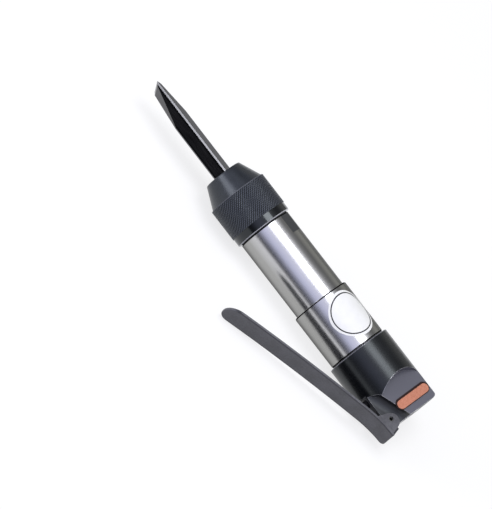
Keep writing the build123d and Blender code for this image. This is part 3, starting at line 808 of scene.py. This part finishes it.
def dress(materials):
    """Gives each CAD node the finish of its slot, or one of its own."""
    for subpart in frame["record"]["subparts"]:
        node = frame["nodes"][subpart["node"]]
        node.data.materials.clear()
        node.data.materials.append(materials.get(subpart["node"], materials[subpart["material_slot"]]))


def add_floor():
    """Pale floor that shows white to the camera and in the steel, and keeps the tool's shadow."""
    half = FLOOR_SIZE / 2
    data = bpy.data.meshes.new("floor")
    corners = [(-half, -half, 0), (half, -half, 0), (half, half, 0), (-half, half, 0)]
    data.from_pydata(corners, [], [(0, 1, 2, 3)])
    floor = bpy.data.objects.new("floor", data)
    floor.location = (AXIS_POINT.x, 0.0, CAD_BOX[0].z)
    bpy.context.collection.objects.link(floor)
    data.materials.append(glowing_paper())


def glowing_paper():
    """Matt paper that glows to the camera and in reflections, and fades out with the distance."""
    finish = Finish("floor")
    finish.tree.nodes.remove(finish.shader)
    paper = finish.add("ShaderNodeBsdfDiffuse")
    paper.inputs["Color"].default_value = (*FLOOR_COLOUR, 1.0)
    glow = finish.add("ShaderNodeEmission")
    rays = finish.add("ShaderNodeLightPath").outputs
    seen = finish.combine("MAXIMUM", rays["Is Camera Ray"], rays["Is Glossy Ray"])
    seen = finish.combine("MAXIMUM", seen, rays["Is Transmission Ray"])
    distance = finish.add("ShaderNodeVectorMath", operation="LENGTH")
    finish.link(finish.place, distance.inputs[0])
    fade = finish.spread(distance.outputs["Value"], *GLOW_FADE, FLOOR_GLOW, 0.0)
    finish.link(finish.times(seen, fade), glow.inputs["Strength"])
    both = finish.add("ShaderNodeAddShader")
    finish.link(paper.outputs[0], both.inputs[0])
    finish.link(glow.outputs[0], both.inputs[1])
    finish.link(both.outputs[0], finish.tree.nodes["Material Output"].inputs["Surface"])
    return finish.material


def add_softbox(name, location, target, size, radiance, colour):
    """Rectangular lamp of even brightness, aimed at a target."""
    width, height = size
    lamp = bpy.data.lights.new(name, "AREA")
    lamp.shape = "RECTANGLE"
    lamp.size = width
    lamp.size_y = height
    lamp.energy = radiance * pi * width * height
    lamp.color = colour
    softbox = bpy.data.objects.new(name, lamp)
    softbox.location = location
    softbox.rotation_euler = (Vector(target) - Vector(location)).to_track_quat("-Z", "Y").to_euler()
    softbox.visible_camera = False
    bpy.context.collection.objects.link(softbox)


def add_tent():
    """World graded by the angle about the tool axis, and darker right at the chisel's end."""
    world = bpy.data.worlds.new("tent")
    world.use_nodes = True
    nodes = Nodes(world.node_tree)
    background = world.node_tree.nodes["Background"].inputs
    direction = nodes.add("ShaderNodeSeparateXYZ")
    nodes.link(nodes.add("ShaderNodeTexCoord").outputs["Generated"], direction.inputs["Vector"])
    towards_lever = nodes.times(direction.outputs["Y"], -1.0)
    angle = nodes.combine("ARCTAN2", direction.outputs["Z"], towards_lever)
    ramp = nodes.add("ShaderNodeValToRGB")
    stops = ramp.color_ramp.elements
    stops.remove(stops[1])
    stops[0].color = (*TENT[0][1], 1.0)
    for degrees, colour in TENT[1:]:
        stops.new(degrees / 180).color = (*colour, 1.0)
    nodes.link(nodes.combine("DIVIDE", angle, pi), ramp.inputs["Fac"])
    nodes.link(ramp.outputs["Color"], background["Color"])
    fall = nodes.spread(direction.outputs["X"], *TENT_FALL, 1.0, TENT_FRONT)
    nodes.link(fall, background["Strength"])
    bpy.context.scene.world = world


def add_camera():
    """Long lens at the photograph's angle, framed so that the axis point falls on its pixel."""
    back = Vector((
        sin(VIEW_AZIMUTH) * cos(VIEW_ELEVATION),
        -cos(VIEW_AZIMUTH) * cos(VIEW_ELEVATION),
        sin(VIEW_ELEVATION),
    ))
    level = Vector((cos(VIEW_AZIMUTH), sin(VIEW_AZIMUTH), 0.0))
    upright = back.cross(level)
    right = cos(VIEW_ROLL) * level + sin(VIEW_ROLL) * upright
    up = back.cross(right)
    off_right = (AXIS_PIXEL[0] - PHOTO_WIDTH / 2) / PIXELS_PER_METRE
    off_down = (AXIS_PIXEL[1] - PHOTO_HEIGHT / 2) / PIXELS_PER_METRE
    place = AXIS_POINT + VIEW_DISTANCE * back - off_right * right + off_down * up
    lens = bpy.data.cameras.new("camera")
    lens.sensor_width = SENSOR
    lens.lens = SENSOR * VIEW_DISTANCE * PIXELS_PER_METRE / PHOTO_HEIGHT
    lens.clip_end = VIEW_REACH
    camera = bpy.data.objects.new("camera", lens)
    camera.matrix_world = Matrix.Translation(place) @ Matrix((right, up, back)).transposed().to_4x4()
    bpy.context.collection.objects.link(camera)
    bpy.context.scene.camera = camera


OILED = oiled_steel("oiled_black", 0.0, (0.004, 0.004, 0.005), (0.010, 0.010, 0.012))
PIN_STEEL = oiled_steel("pin_steel", 1.0, (0.12, 0.12, 0.125), (0.20, 0.20, 0.205))
RING_INK = ink_and_painted_shade("ring_ink", (0.006, 0.006, 0.007), (0.016, 0.016, 0.017))
# Painted shade round the orange plate, drawn with the dark ink finish.
PLATE_SHADE = ink_and_painted_shade("plate_shade", (0.020, 0.010, 0.009), (0.040, 0.018, 0.015))

# Finishes by material slot, or by node where one has its own
FINISHES = {
    "black_steel": head_black(),
    "nose_cap": nose_black(),
    "lever_pin": PIN_STEEL,
    "plunger_bush": OILED,
    "throttle_plunger": OILED,
    "polished_steel": sleeve_steel(),
    "barrel": barrel_steel(),
    "bright_steel": bright_steel(),
    "lever_steel": phosphate_steel(),
    "tool_steel": ground_tool_steel(),
    "bronze": bronze(),
    "rubber": rubber(),
    "white_film": white_film(),
    "orange_plate": orange_enamel(),
}
dress(FINISHES)
new_piece("nose_knurl", knurl_band(), "nose", knurl_black())
new_piece("inlet_thread", thread_ridge(*INLET_THREAD), "body", FINISHES["bright_steel"])
new_piece("spigot_thread", thread_ridge(*SPIGOT_THREAD), "body", FINISHES["barrel"])
add_spring(FINISHES["bright_steel"])
new_piece("decal_ring", decal_ring(), "body", RING_INK)
# Painted shade round the orange plate, as a dark slab.
new_piece("plate_shade_slab", plate_shade_slab(), "body", PLATE_SHADE)

add_floor()
add_tent()
add_camera()
for lamp_name, settings in LAMPS.items():
    add_softbox(lamp_name, *settings)

bpy.context.scene.view_settings.view_transform = "Standard"
